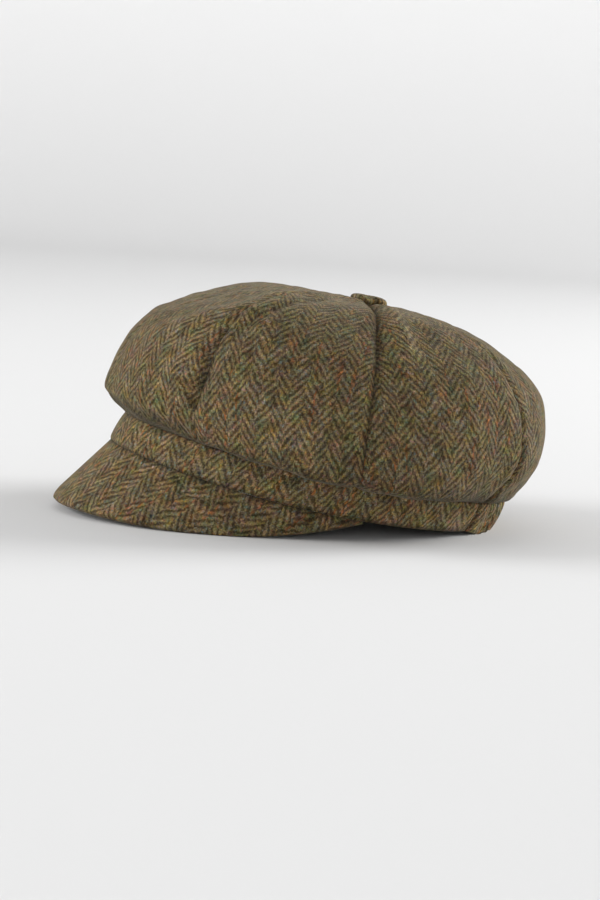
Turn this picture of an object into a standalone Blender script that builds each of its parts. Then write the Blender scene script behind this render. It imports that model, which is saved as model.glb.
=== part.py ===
"""Soft eight-panel tweed cap: crown panels, covered button, band, gathered back casing, cloth peak.

Metres, +Z up. The front of the hat faces -Y and the wearer's left is +X. Everything is worked out
in the band's own frame (head opening level) and then tipped back, so the hat rests on z = 0
on the two low edges of its peak and on its back casing.
A turn is the direction round the hat, 0 at the front, growing towards the wearer's left.
"""
from math import cos, pi, radians, sin

import bmesh
import bpy
import numpy as np

# Cloth and gaps
CLOTH = 0.002
GAP = 0.0003

# Band: outside length and width of its oval, height, wall, and how it leans and dips
BAND_LENGTH = 0.2095
BAND_WIDTH = 0.162
BAND_HEIGHT = 0.0158
BAND_WALL = 0.003
BAND_LEAN = 0.005
FRONT_ARCH = 0.0010
SIDE_SAG = 0.0052

# Back casing: half turn it covers, extra thickness, how far it hangs below the band, its gathers
CASING_HALF_TURN = radians(38)
CASING_PUFF = 0.0012
CASING_DROP = 0.0022
GATHER_COUNT = 13
GATHER_DEPTH = 0.0007

# Peak: depth at the front, half turn of its root, slope at the front and how much it steepens
PEAK_DEPTH = 0.043
PEAK_HALF_TURN = radians(101)
PEAK_SLOPE = radians(55.5)
PEAK_STEEPEN = radians(39)
PEAK_ROUND = 1.55
PEAK_FALL = 0.945
PEAK_TAB = 0.0015
PEAK_INSET = 0.0012
PEAK_LAYER = 0.0023

# Crown: outside length, width and height above the band, and how far its middle sits back
CROWN_LENGTH = 0.230
CROWN_WIDTH = 0.230
CROWN_HEIGHT = 0.085
CROWN_BACK = 0.0075
SEAM_DEPTH = 0.0013
SEAM_REACH = 0.009

# Turns of the crown's seams in degrees, from the front round by the wearer's left
SEAM_TURNS = (0, 41, 88, 138, 180, 222, 272, 319, 360)

# Button
BUTTON_RADIUS = 0.0125
BUTTON_RIM = 0.0016
BUTTON_DOME = 0.0032
BUTTON_BACK_RISE = 0.0018
BUTTON_SEAT = 0.0005
BUTTON_HOLE = 0.003

# How far soft cloth flattens where it rests: the peak's two low edges and the back casing
PEAK_FLAT = 0.0006
CASING_FLAT = 0.0018

# Mesh steps
PANEL_COLUMNS = 8
PANEL_ROWS = 22
BAND_COLUMNS = 60
CASING_COLUMNS = 65
PEAK_COLUMNS = 40
PEAK_ROWS = 5
BUTTON_COLUMNS = 24

# Crown sections, one row per turn in degrees (mirrored to the other side).
# Reach is a share of the crown's half size, height a share of CROWN_HEIGHT above the band.
CROWN_COLUMNS = ("turn", "low_reach", "low_height", "wide_reach", "wide_height", "upper_reach",
                 "upper_height", "shoulder_reach", "shoulder_height", "top_reach", "top_height")
CROWN_SECTIONS = (
    (0, 1.00, 0.10, 1.025, 0.20, 0.95, 0.585, 0.73, 0.80, 0.39, 1.00),
    (45, 0.90, 0.02, 0.96, 0.20, 0.945, 0.545, 0.785, 0.835, 0.43, 0.985),
    (90, 1.02, -0.005, 0.985, 0.25, 0.885, 0.54, 0.72, 0.78, 0.395, 0.995),
    (135, 0.935, 0.045, 1.03, 0.285, 0.95, 0.62, 0.75, 0.86, 0.415, 1.01),
    (180, 0.955, 0.05, 1.015, 0.34, 0.93, 0.715, 0.69, 0.89, 0.40, 1.00),
)

# How far each station of a section follows the crown's middle backwards
BACK_SHARES = (0.0, 0.0, 0.3, 0.6, 0.9)

# Folds of the crown (mirrored): where they are, how far they spread, and their depth
# as a share of FOLD_DEPTH, below zero where the cloth sinks.
FOLD_DEPTH = 0.003
FOLD_COLUMNS = ("turn", "share", "turn_spread", "share_spread", "depth_share")
FOLDS = (
    (34, 0.66, 9, 0.10, -0.8),
    (41, 0.40, 7, 0.12, -1.0),
    (88, 0.78, 6, 0.12, -1.0),
    (66, 0.36, 13, 0.14, 0.7),
    (60, 0.10, 10, 0.07, 0.7),
    (112, 0.40, 12, 0.14, 0.5),
)

# Outline of the band's wall: height share, and how far it stands out as a share of the wall
BAND_PROFILE = ((0.0, -0.25), (0.12, 0.0), (0.5, 0.12), (0.88, 0.0), (1.0, -0.15))


def through(stations, place):
    """Smooth curve through evenly spaced stations (last axis but one); place runs 0 to 1."""
    count = stations.shape[-2]
    first = 2 * stations[..., :1, :] - stations[..., 1:2, :]
    last = 2 * stations[..., -1:, :] - stations[..., -2:-1, :]
    padded = np.concatenate([first, stations, last], axis=-2)
    along = place * (count - 1)
    step = np.clip(along.astype(int), 0, count - 2)
    part = (along - step)[..., None]
    before, start, end, after = (
        np.take_along_axis(padded, (step + shift)[..., None, None], axis=-2)[..., 0, :]
        for shift in range(4))
    bend = 2 * before - 5 * start + 4 * end - after
    twist = 3 * start - before - 3 * end + after
    return 0.5 * (2 * start + (end - before) * part + bend * part ** 2 + twist * part ** 3)


def folded_turn(turn):
    """Turn away from the front, 0 to pi, the same on both sides."""
    return np.abs((turn + pi) % (2 * pi) - pi)


def oval(turn):
    """Point and outward direction of the band's outside oval."""
    half_length, half_width = BAND_LENGTH / 2, BAND_WIDTH / 2
    point = np.stack([half_width * np.sin(turn), -half_length * np.cos(turn)], axis=-1)
    out = np.stack([half_length * np.sin(turn), -half_width * np.cos(turn)], axis=-1)
    return point, out / np.linalg.norm(out, axis=-1, keepdims=True)


def band_point(turn, share, stand=0.0):
    """Point of the band's outside, share 0 at its lower edge and 1 at its upper edge."""
    turn, share, stand = np.broadcast_arrays(turn, share, stand)
    point, out = oval(turn)
    front = np.clip(1 - folded_turn(turn) / PEAK_HALF_TURN, 0, 1)
    arch = FRONT_ARCH * np.sin(front * pi / 2) ** 2 * (1 - 0.2 * share)
    sag = SIDE_SAG * np.sin(turn) ** 2 * (1 - 0.3 * share)
    flat = point + out * stand[..., None]
    height = arch - sag + BAND_HEIGHT * share
    return np.stack([flat[..., 0], flat[..., 1] + BAND_LEAN * share, height], axis=-1)


def crown_rows(turn):
    """Reach and height columns of the crown sections, blended smoothly round the hat."""
    half = np.array(CROWN_SECTIONS, dtype=float)[:, 1:]
    whole = np.concatenate([half[1:2], half, half[-2:-1]])
    count = len(whole)
    place = (folded_turn(turn) / pi * (len(half) - 1) + 1) / (count - 1)
    table = np.broadcast_to(whole, place.shape + whole.shape)
    return through(table, place)


def plain_crown(turn, share):
    """Crown without seams or folds: a curve through its section's stations, band to middle."""
    turn, share = np.broadcast_arrays(turn, share)
    rows = crown_rows(turn)
    aim = np.stack([np.sin(turn), -np.cos(turn)], axis=-1)
    size = 1 / np.hypot(np.sin(turn) / (CROWN_WIDTH / 2), np.cos(turn) / (CROWN_LENGTH / 2))
    start = band_point(turn, 1.0)
    start[..., 2] += GAP
    stations = [start]
    for index, back in enumerate(BACK_SHARES):
        reach = rows[..., 2 * index] * size
        height = BAND_HEIGHT + rows[..., 2 * index + 1] * CROWN_HEIGHT
        across = aim[..., 0] * reach
        along = BAND_LEAN + CROWN_BACK * back + aim[..., 1] * reach
        stations.append(np.stack([across, along, height], axis=-1))
    middle = np.array([0.0, BAND_LEAN + CROWN_BACK, BAND_HEIGHT + CROWN_HEIGHT])
    stations.append(np.broadcast_to(middle, start.shape))
    return through(np.stack(stations, axis=-2), share)


def outward(surface, turn, share):
    """Outward direction of a surface given as a function of turn and share."""
    step = 1e-4
    low = np.maximum(share - step, 0)
    high = np.minimum(share + step, 1 - 1e-6)
    round_hat = surface(turn + step, share) - surface(turn - step, share)
    up_hat = surface(turn, high) - surface(turn, low)
    normal = np.cross(round_hat, up_hat)
    return normal / (np.linalg.norm(normal, axis=-1, keepdims=True) + 1e-15)


def relief(turn, share, radius):
    """How far the crown stands out at a place: seams dip in, folds swell or sink."""
    away = (turn % (2 * pi))[..., None] - np.radians(SEAM_TURNS)
    off_seam = np.abs(away).min(axis=-1) * radius
    near = np.clip(1 - off_seam / SEAM_REACH, 0, 1)
    ends = np.clip(share / 0.08, 0, 1) * np.clip((1 - share) / 0.12, 0, 1)
    stand = -SEAM_DEPTH * near ** 2
    side = np.degrees(folded_turn(turn))
    for at_turn, at_share, turn_spread, share_spread, depth_share in FOLDS:
        across = (side - at_turn) / turn_spread
        along = (share - at_share) / share_spread
        stand = stand + FOLD_DEPTH * depth_share * np.exp(-across ** 2 - along ** 2)
    return stand * ends


def crown_point(turn, share):
    """Crown outside with its seams and folds."""
    turn, share = np.broadcast_arrays(turn, share)
    point = plain_crown(turn, share)
    middle = np.array([0.0, BAND_LEAN + CROWN_BACK])
    radius = np.linalg.norm(point[..., :2] - middle, axis=-1)
    lift = relief(turn, share, radius)
    return point + outward(plain_crown, turn, share) * lift[..., None]


def share_at_radius(turn, radius):
    """Share of a crown section at which it comes within a radius of the crown's middle."""
    middle = np.array([0.0, BAND_LEAN + CROWN_BACK])
    shares = np.linspace(0.8, 1.0, 101)
    line = plain_crown(np.full_like(shares, turn), shares)
    away = np.linalg.norm(line[:, :2] - middle, axis=-1)
    return np.interp(-radius, -away, shares)


def peak_point(turn, share, depth_in):
    """Point of the peak: share runs from its root to its edge, depth_in is below its top face."""
    turn, share, depth_in = np.broadcast_arrays(turn, share, depth_in)
    root = band_point(turn, 0.0, -PEAK_INSET)
    _, out = oval(turn)
    side = np.clip(folded_turn(turn) / PEAK_HALF_TURN, 0, 1)
    length = PEAK_TAB + (PEAK_DEPTH - PEAK_TAB) * (1 - side ** PEAK_ROUND) ** PEAK_FALL
    slope = PEAK_SLOPE + PEAK_STEEPEN * side ** 2
    run = length * share
    flat = run * np.cos(slope) - depth_in * np.sin(slope)
    drop = run * np.sin(slope) + depth_in * np.cos(slope) + GAP
    point = root.copy()
    point[..., :2] += out * flat[..., None]
    point[..., 2] -= drop
    return point


def casing_point(turn, share, inside):
    """Point of the back casing, outside or inside, with its gathers."""
    turn, share, inside = np.broadcast_arrays(turn, share, inside)
    heights = [row[0] for row in BAND_PROFILE]
    stands = [row[1] * BAND_WALL for row in BAND_PROFILE]
    side = (turn - pi) / CASING_HALF_TURN
    fade = np.clip(4 * (1 - np.abs(side)), 0, 1)
    gather = GATHER_DEPTH * np.cos(side * pi * GATHER_COUNT) * fade
    puff = CASING_PUFF * np.clip(6 * (1 - np.abs(side)), 0, 1)
    full = np.interp(share, heights, stands) + puff + gather
    stand = np.where(inside > 0, full - BAND_WALL - 2 * puff, full)
    point = band_point(turn, share, stand)
    point[..., 2] -= CASING_DROP * fade * (1 - share)
    return point


def panel_grids(index):
    """Outside and inside grids of one crown panel."""
    first, last = np.radians(SEAM_TURNS[index:index + 2])
    edge = 0.5 - 0.5 * np.cos(np.linspace(0, pi, PANEL_COLUMNS + 1))
    rows = np.linspace(0, 1, PANEL_ROWS + 1)
    turns = first + edge * (last - first)
    tops = np.array([share_at_radius(turn, BUTTON_HOLE) for turn in turns])
    share = rows[None, :] * tops[:, None]
    turn = np.broadcast_to(turns[:, None], share.shape)
    middle = np.array([0.0, BAND_LEAN + CROWN_BACK])
    radius = np.linalg.norm(plain_crown(turn, share)[..., :2] - middle, axis=-1)
    margin = np.arcsin(np.clip(GAP / 2 / radius, 0, 0.5))
    turn = first + margin + edge[:, None] * (last - first - 2 * margin)
    outside = crown_point(turn, share)
    inside = outside - outward(crown_point, turn, share) * CLOTH
    return outside, inside


def band_grids():
    """Outside and inside grids of the band, open at the back for the casing."""
    reach = pi - CASING_HALF_TURN - GAP / BAND_LENGTH
    turn = np.linspace(-reach, reach, BAND_COLUMNS + 1)[:, None]
    share = np.array([row[0] for row in BAND_PROFILE])[None, :]
    stand = np.array([row[1] for row in BAND_PROFILE])[None, :] * BAND_WALL
    outside = band_point(turn, share, stand)
    inside = band_point(turn, share, -BAND_WALL - stand)
    return outside, inside


def casing_grids():
    """Outside and inside grids of the back casing."""
    reach = CASING_HALF_TURN - GAP / BAND_LENGTH
    turn = np.linspace(pi - reach, pi + reach, CASING_COLUMNS + 1)[:, None]
    share = np.array([row[0] for row in BAND_PROFILE])[None, :]
    return casing_point(turn, share, 0.0), casing_point(turn, share, 1.0)


def peak_grids(layer):
    """Outer and inner grids of one layer of the peak, 0 above and 1 below."""
    turn = np.linspace(-PEAK_HALF_TURN, PEAK_HALF_TURN, PEAK_COLUMNS + 1)[:, None]
    share = np.linspace(0, 1, PEAK_ROWS + 1)[None, :]
    rounding = 0.55 * PEAK_LAYER * np.clip((share - 0.8) / 0.2, 0, 1) ** 2
    above = layer * (PEAK_LAYER + GAP)
    upper = peak_point(turn, share, above + rounding * (1 - layer))
    lower = peak_point(turn, share, above + PEAK_LAYER - rounding * layer)
    return upper, lower


def button_rings():
    """Rings of the covered button from the middle of its top, over its rim, to its underside."""
    turns = np.linspace(0, 2 * pi, BUTTON_COLUMNS, endpoint=False)
    rings = []
    for radius_share, lift in ((0.0, 1.0), (0.35, 0.94), (0.65, 0.76), (0.88, 0.46), (1.0, 0.0)):
        rings.append(button_ring(turns, radius_share, BUTTON_RIM + BUTTON_DOME * lift))
    for radius_share, stand in ((1.0, 0.3), (0.9, 0.0), (0.5, 0.0), (0.0, 0.0)):
        rings.append(button_ring(turns, radius_share, BUTTON_RIM * stand))
    return rings


def button_ring(turns, radius_share, stand):
    """One ring of the button, standing off the crown; its middle ring is a single point."""
    radius = BUTTON_RADIUS * max(radius_share, 0.05)
    shares = np.array([share_at_radius(turn, radius) for turn in turns])
    base = crown_point(turns, shares)
    lift = outward(plain_crown, turns, shares)
    rise = BUTTON_BACK_RISE * (1 - np.cos(turns)) / 2 * radius_share * (stand > 0)
    points = base + lift * (BUTTON_SEAT + stand + rise)[:, None]
    return points.mean(axis=0)[None, :] if radius_share == 0 else points


def tipped(points, pitch):
    """Points with the front of the hat raised by a pitch about the left-right line."""
    along, height = points[..., 1], points[..., 2]
    turned = [points[..., 0], along * cos(pitch) + height * sin(pitch),
              height * cos(pitch) - along * sin(pitch)]
    return np.stack(turned, axis=-1)


def rest_pitch():
    """Pitch at which the peak and the back casing come down to the same level."""
    front = np.concatenate([grid.reshape(-1, 3) for grid in peak_grids(0) + peak_grids(1)])
    back = np.concatenate([grid.reshape(-1, 3) for grid in casing_grids()])
    low, high = radians(-10), radians(40)
    for _ in range(50):
        pitch = (low + high) / 2
        front_low = tipped(front, pitch)[:, 2].min() + PEAK_FLAT
        if front_low < tipped(back, pitch)[:, 2].min() + CASING_FLAT:
            low = pitch
        else:
            high = pitch
    return (low + high) / 2


def rested(points, pitch, middle, floor):
    """Points tipped to the rest pitch, centred and lowered, flattened where the cloth rests."""
    placed = tipped(points, pitch)
    placed[..., 1] -= middle
    placed[..., 2] = np.maximum(placed[..., 2] - floor, 0.0)
    return placed


def cloth_material(name, colour):
    """Matte woollen cloth."""
    material = bpy.data.materials.new(name)
    material.use_nodes = True
    shader = material.node_tree.nodes["Principled BSDF"]
    shader.inputs["Base Color"].default_value = colour + (1.0,)
    shader.inputs["Roughness"].default_value = 0.9
    shader.inputs["Metallic"].default_value = 0.0
    return material


def finish(name, points, faces, material):
    """One closed, outward-facing, smooth-shaded object."""
    mesh = bpy.data.meshes.new(name)
    mesh.from_pydata([tuple(point) for point in points], [], faces)
    work = bmesh.new()
    work.from_mesh(mesh)
    bmesh.ops.recalc_face_normals(work, faces=work.faces)
    work.to_mesh(mesh)
    work.free()
    mesh.polygons.foreach_set("use_smooth", [True] * len(mesh.polygons))
    mesh.materials.append(material)
    thing = bpy.data.objects.new(name, mesh)
    bpy.context.scene.collection.objects.link(thing)
    return thing


def wall(name, outside, inside, material):
    """Closed cloth wall between an outside and an inside grid."""
    columns, rows = outside.shape[:2]
    points = np.concatenate([outside.reshape(-1, 3), inside.reshape(-1, 3)])
    number = np.arange(columns * rows).reshape(columns, rows)
    under = number + columns * rows
    faces = []
    for sheet in (number, under[:, ::-1]):
        faces += np.stack([sheet[:-1, :-1], sheet[1:, :-1], sheet[1:, 1:], sheet[:-1, 1:]],
                          axis=-1).reshape(-1, 4).tolist()
    rim = np.concatenate([number[:, 0], number[-1, 1:], number[-2::-1, -1], number[0, -2:0:-1]])
    rim_under = rim + columns * rows
    faces += np.stack([rim, rim_under, np.roll(rim_under, -1), np.roll(rim, -1)],
                      axis=-1).tolist()
    return finish(name, points, faces, material)


def turned_solid(name, rings, material):
    """Closed solid from rings whose first and last are single points."""
    points = np.concatenate(rings)
    count = len(rings[1])
    starts = 1 + np.arange(len(rings) - 2) * count
    step = np.arange(count)
    after = (step + 1) % count
    last = len(points) - 1
    faces = [[0, starts[0] + b, starts[0] + a] for a, b in zip(step, after)]
    for here, there in zip(starts[:-1], starts[1:]):
        faces += np.stack([here + step, here + after, there + after, there + step],
                          axis=-1).tolist()
    faces += [[last, starts[-1] + a, starts[-1] + b] for a, b in zip(step, after)]
    return finish(name, points, faces, material)


def crown_panel(name, index, place, material):
    """One cloth panel of the crown."""
    outside, inside = panel_grids(index)
    return wall(name, place(outside), place(inside), material)


def head_band(place, material):
    """Band round the head."""
    outside, inside = band_grids()
    return wall("band", place(outside), place(inside), material)


def back_casing(place, material):
    """Gathered casing that closes the band at the back."""
    outside, inside = casing_grids()
    return wall("back_casing", place(outside), place(inside), material)


def peak_layer(name, layer, place, material):
    """One of the peak's two cloth layers."""
    outside, inside = peak_grids(layer)
    return wall(name, place(outside), place(inside), material)


def top_button(place, material):
    """Cloth-covered button on the crown's middle."""
    return turned_solid("top_button", [place(ring) for ring in button_rings()], material)


PANEL_NAMES = ("panel_front_left", "panel_fore_left", "panel_aft_left", "panel_back_left",
               "panel_back_right", "panel_aft_right", "panel_fore_right", "panel_front_right")


def main():
    """Build every piece of the hat."""
    for thing in list(bpy.data.objects):
        bpy.data.objects.remove(thing, do_unlink=True)
    pitch = rest_pitch()
    casing = tipped(np.stack(casing_grids()), pitch)
    crown_back = tipped(panel_grids(len(PANEL_NAMES) // 2)[0], pitch)
    floor = casing[..., 2].min() + CASING_FLAT
    middle = (tipped(peak_grids(0)[0], pitch)[..., 1].min() + crown_back[..., 1].max()) / 2

    def place(points):
        return rested(points, pitch, middle, floor)

    crown_cloth = cloth_material("crown_tweed", (0.125, 0.092, 0.052))
    band_cloth = cloth_material("band_tweed", (0.098, 0.070, 0.040))
    peak_cloth = cloth_material("peak_tweed", (0.112, 0.084, 0.047))
    under_cloth = cloth_material("under_peak_tweed", (0.090, 0.066, 0.038))
    casing_cloth = cloth_material("casing_tweed", (0.130, 0.100, 0.062))
    button_cloth = cloth_material("button_tweed", (0.115, 0.086, 0.050))
    for index, name in enumerate(PANEL_NAMES):
        crown_panel(name, index, place, crown_cloth)
    head_band(place, band_cloth)
    back_casing(place, casing_cloth)
    peak_layer("peak_upper", 0, place, peak_cloth)
    peak_layer("peak_under", 1, place, under_cloth)
    top_button(place, button_cloth)


main()
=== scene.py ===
"""Looks of the soft eight-panel herringbone tweed cap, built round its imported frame.

Metres, +Z up, the front of the hat at -Y, the wearer's left at +X. Each shape is worked out in the
band's own frame, with the head opening level, and then tipped to the way the hat rests.
A turn is the direction round the hat, 0 at the front, growing towards the wearer's left.
"""
from math import cos, pi, radians, sin, tan

import bmesh
import bpy
import numpy as np
from bpy.props import FloatProperty, FloatVectorProperty, IntProperty, PointerProperty
from mathutils import Matrix, Vector


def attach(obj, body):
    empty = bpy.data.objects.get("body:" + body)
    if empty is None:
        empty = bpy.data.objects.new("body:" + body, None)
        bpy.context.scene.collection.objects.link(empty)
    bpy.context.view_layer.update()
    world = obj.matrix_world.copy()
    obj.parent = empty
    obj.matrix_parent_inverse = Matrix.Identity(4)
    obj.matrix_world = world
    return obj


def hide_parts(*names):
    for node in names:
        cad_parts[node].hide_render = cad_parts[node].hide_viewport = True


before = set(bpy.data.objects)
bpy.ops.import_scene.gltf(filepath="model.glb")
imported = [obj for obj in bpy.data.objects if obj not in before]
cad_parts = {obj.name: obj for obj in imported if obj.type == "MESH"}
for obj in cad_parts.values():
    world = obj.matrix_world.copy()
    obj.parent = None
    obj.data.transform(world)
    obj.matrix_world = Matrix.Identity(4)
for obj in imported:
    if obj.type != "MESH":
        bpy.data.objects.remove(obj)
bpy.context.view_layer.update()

bl_info = {
    "name": "Herringbone tweed cap",
    "version": (1, 0, 0),
    "blender": (4, 5, 0),
    "location": "View3D > Sidebar > Tweed cap",
    "description": "Cloth pieces, woven finish and studio of a soft eight-panel cap",
    "category": "Object",
}

# Sizes that the frame was built with, and the finer gap left between the dressed pieces
GAP = 0.0003
SEAM_GAP = 0.0001
CLOTH = 0.002
BAND_LENGTH = 0.2095
BAND_WIDTH = 0.162
BAND_HEIGHT = 0.0158
BAND_WALL = 0.003
BAND_LEAN = 0.005
FRONT_ARCH = 0.0010
SIDE_SAG = 0.0052
CASING_HALF_TURN = radians(38)
CASING_PUFF = 0.0012
CASING_DROP = 0.0022
CASING_INNER_LOWEST = 0.001
CASING_FULLNESS = 1.3
GATHER_COUNT = 13
PEAK_DEPTH = 0.043
PEAK_HALF_TURN = radians(101)
PEAK_SLOPE = radians(55.5)
PEAK_STEEPEN = radians(39)
PEAK_ROUND = 1.55
PEAK_FALL = 0.945
PEAK_TAB = 0.0015
PEAK_INSET = 0.0012
PEAK_LAYER = 0.0023
CROWN_LENGTH = 0.230
CROWN_WIDTH = 0.230
CROWN_HEIGHT = 0.085
CROWN_BACK = 0.0075
BUTTON_RIM = 0.0016
BUTTON_DOME = 0.0032
BUTTON_BACK_RISE = 0.0018
BUTTON_COVER = 0.0100
BUTTON_SHIFT = 0.0014
BUTTON_HOLE = 0.003
CROWN_MIDDLE = np.array([0.0, BAND_LEAN + CROWN_BACK])

# Outline of the button below its dome: reach as a share of its radius, and height as a share
# of its rim
BUTTON_EDGE = ((1.0, 0.4), (0.975, 0.12), (0.93, 0.0), (0.6, 0.0), (0.3, 0.0), (0.0, 0.0))

# How the hat rests, as the frame was built: pitch of its band, and where the band's frame
# stands along and over the floor
REST_PITCH = 0.171927
REST_ALONG = 0.001447
REST_HEIGHT = 0.018462

# Crown sections, one row per turn in degrees: reach and height shares of five stations
CROWN_SECTIONS = np.array((
    (0, 1.00, 0.10, 1.025, 0.20, 0.95, 0.585, 0.73, 0.80, 0.39, 1.00),
    (45, 0.90, 0.02, 0.96, 0.20, 0.945, 0.545, 0.785, 0.835, 0.43, 0.985),
    (90, 1.02, -0.005, 0.985, 0.25, 0.885, 0.54, 0.72, 0.78, 0.395, 0.995),
    (135, 0.935, 0.045, 1.03, 0.285, 0.95, 0.62, 0.75, 0.86, 0.415, 1.01),
    (180, 0.955, 0.05, 1.015, 0.34, 0.93, 0.715, 0.69, 0.89, 0.40, 1.00),
))
BACK_SHARES = (0.0, 0.0, 0.3, 0.6, 0.9)

# Soft folds of the crown: turn in degrees and share of the middle, rise of the fold's line in
# share per degree, half lengths in turn and in share, and how far the cloth stands out
FOLDS = (
    (47, 0.65, 0.0286, 5, 0.08, -0.0017),
    (42, 0.41, 0, 3, 0.07, -0.003),
    (28, 0.57, 0.006, 13, 0.055, 0.0024),
    (37, 0.77, 0, 6, 0.09, 0.0018),
    (34, 0.44, 0, 5, 0.09, 0.002),
    (97, 0.74, 0, 5, 0.12, 0.0034),
    (66, 0.36, 0, 13, 0.14, 0.0014),
    (50, 0.22, 0, 8, 0.12, 0.0012),
    (112, 0.4, 0, 12, 0.14, 0.001),
    (128, 0.32, 0, 6, 0.14, -0.001),
    (40, 0.97, 0, 60, 0.03, 0.0035),
)

# Seams of the crown: turn in degrees, and how strongly each draws the cloth in at the lower
# edge, half way up and near the button
SEAMS = np.array((
    (0, 0.3, 0.2, 0.2), (41, 0.1, 0.5, 0.05), (88, 0.5, 0.9, 1.0), (138, 1.1, 0.6, 0.1),
    (180, 0.6, 0.6, 0.5), (222, 1.1, 0.6, 0.1), (272, 0.5, 0.9, 1.0), (319, 0.1, 0.5, 0.05),
    (360, 0.3, 0.2, 0.2),
))
SEAM_SWING = radians(1.7)

# Painted shade in hollows: half widths of that at the seams and the ends, depth of a fold that is
# fully dark, reach of that at the peak's root, and shares between which the crown's lower edge
# clears
SEAM_SHADE_WIDTH = 0.0017
END_SHADE_WIDTH = 0.002
FOLD_SHADE_DEPTH = 0.005
PEAK_ROOT_SHADE = 0.003
CROWN_SHADE_SHARES = (0.13, 0.24)

# Reach of the ripples beside a seam, and the length of panel along which they are spaced
PUCKER_REACH = 0.008
PANEL_LENGTH = 0.17

# Shares of the crown over which seams and folds fade out at the band and at the button
BAND_FADE, BUTTON_FADE = 0.08, 0.05

# Sizes of the soft unevenness: the crown's broad and fine one, and the band's
CROWN_SOFT_SIZE, CROWN_FINE_SIZE, BAND_SOFT_SIZE = 0.034, 0.013, 0.022

# Half width of the tuck at the ends of the band and of the casing
END_TUCK_WIDTH = 0.0017

# Outline of the band's wall: height share, and how far it stands out as a share of the wall
BAND_PROFILE = ((0.0, -0.30), (0.04, -0.12), (0.12, 0.02), (0.3, 0.10), (0.5, 0.12), (0.75, 0.06),
                (0.9, -0.02), (0.97, -0.12), (1.0, -0.28))

# Panels from the front one on the left, round the back, to the front one on the right, and how
# far the weave leans on each, in degrees
PANELS = (("panel_front_left", 0), ("panel_fore_left", -6), ("panel_aft_left", 0),
          ("panel_back_left", 0), ("panel_back_right", 0), ("panel_aft_right", 0),
          ("panel_fore_right", 6), ("panel_front_right", 0))

# Rows across the band's and the casing's walls, and the row that measures their length
WALL_ROWS = 25
MIDDLE_ROW = WALL_ROWS // 2

# How the weave is brightened, leant and slid on each piece, and slid from panel to panel
PANEL_SHIFT = 0.013
# The band's and the casing's higher tones are painted light against the shade under the crown
BAND_LOOK = {"tone": 1.42, "lean": -radians(7), "shift": 0.004}
CASING_LOOK = {"tone": 1.5, "shift": 0.021}
BUTTON_LOOK = {"tone": 1.4, "shift": 0.03}
PEAK_SHIFT = 0.009

# Layers of the peak: node, slot and tone; the upper layer's higher tone is painted light
PEAK_LAYERS = (("peak_upper", "peak_tweed", 1.12), ("peak_under", "under_peak_tweed", 1.0))

# Noises of the cloth: their scales, the zones' reach in red, green and blue, the reach of the
# two wobbles, and how long a stray thread's colour lasts
HAIR_SCALE = 620.0
SPECKLE_SCALE = 1700.0
MOTTLE_SCALES = (95.0, 230.0)
ZONE_SCALE = 150.0
ZONE_REACH = Vector((1.05, 0.5, 1.4))
WOBBLES = ((110.0, 0.0035), (420.0, 0.0022))
STRAY_LENGTH = 0.03

# Studio: reach of the floor's flat part, radius of its rim, height where its colour has turned
# into the rim's, and the lights' places and sizes
FLOOR_REACH = 3.0
RIM_RADIUS = 1.2
RIM_FADE = 0.5
LIGHTS = {"front": ((-0.4, -3.2, 1.1), 2.0), "rear": ((-0.7, 3.1, 1.1), 2.0),
          "fill": ((2.8, -0.5, 0.45), 1.1)}
AIM = Vector((0, 0, 0.05))
VIEW_HEIGHT_PIXELS = 900
SENSOR_WIDTH = 36.0


def through(stations, place):
    """Smooth curve through evenly spaced stations: each stretch is a cubic that leaves a
    station in the direction of the line between its two neighbours."""
    count = stations.shape[-2]
    first = 2 * stations[..., :1, :] - stations[..., 1:2, :]
    last = 2 * stations[..., -1:, :] - stations[..., -2:-1, :]
    padded = np.concatenate([first, stations, last], axis=-2)
    along = place * (count - 1)
    step = np.clip(along.astype(int), 0, count - 2)
    part = (along - step)[..., None]
    before, start, end, after = (
        np.take_along_axis(padded, (step + shift)[..., None, None], axis=-2)[..., 0, :]
        for shift in range(4))
    bend = 2 * before - 5 * start + 4 * end - after
    twist = 3 * start - before - 3 * end + after
    return 0.5 * (2 * start + (end - before) * part + bend * part ** 2 + twist * part ** 3)


def held(value):
    """Value held between 0 and 1."""
    return np.clip(value, 0, 1)


def folded_turn(turn):
    """Turn away from the front, 0 to pi, the same on both sides."""
    return np.abs((turn + pi) % (2 * pi) - pi)


def oval(turn):
    """Point of the band's outside oval, sine across and minus cosine along, and its outward
    direction, which swaps the two half sizes."""
    half_length, half_width = BAND_LENGTH / 2, BAND_WIDTH / 2
    point = np.stack([half_width * np.sin(turn), -half_length * np.cos(turn)], axis=-1)
    out = np.stack([half_length * np.sin(turn), -half_width * np.cos(turn)], axis=-1)
    return point, out / np.linalg.norm(out, axis=-1, keepdims=True)


def band_point(turn, share, stand=0.0):
    """Band's outside: the oval, leaning back with height, arched up in front by a squared sine
    and sagging at the sides by the square of the turn's sine."""
    turn, share, stand = np.broadcast_arrays(turn, share, stand)
    point, out = oval(turn)
    front = held(1 - folded_turn(turn) / PEAK_HALF_TURN)
    arch = FRONT_ARCH * np.sin(front * pi / 2) ** 2 * (1 - 0.2 * share)
    sag = SIDE_SAG * np.sin(turn) ** 2 * (1 - 0.3 * share)
    flat = point + out * stand[..., None]
    height = arch - sag + BAND_HEIGHT * share
    return np.stack([flat[..., 0], flat[..., 1] + BAND_LEAN * share, height], axis=-1)


def crown_rows(turn):
    """Reach and height shares of the crown sections, blended smoothly round the hat."""
    half = CROWN_SECTIONS[:, 1:]
    whole = np.concatenate([half[1:2], half, half[-2:-1]])
    place = (folded_turn(turn) / pi * (len(half) - 1) + 1) / (len(whole) - 1)
    return through(np.broadcast_to(whole, place.shape + whole.shape), place)


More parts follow.
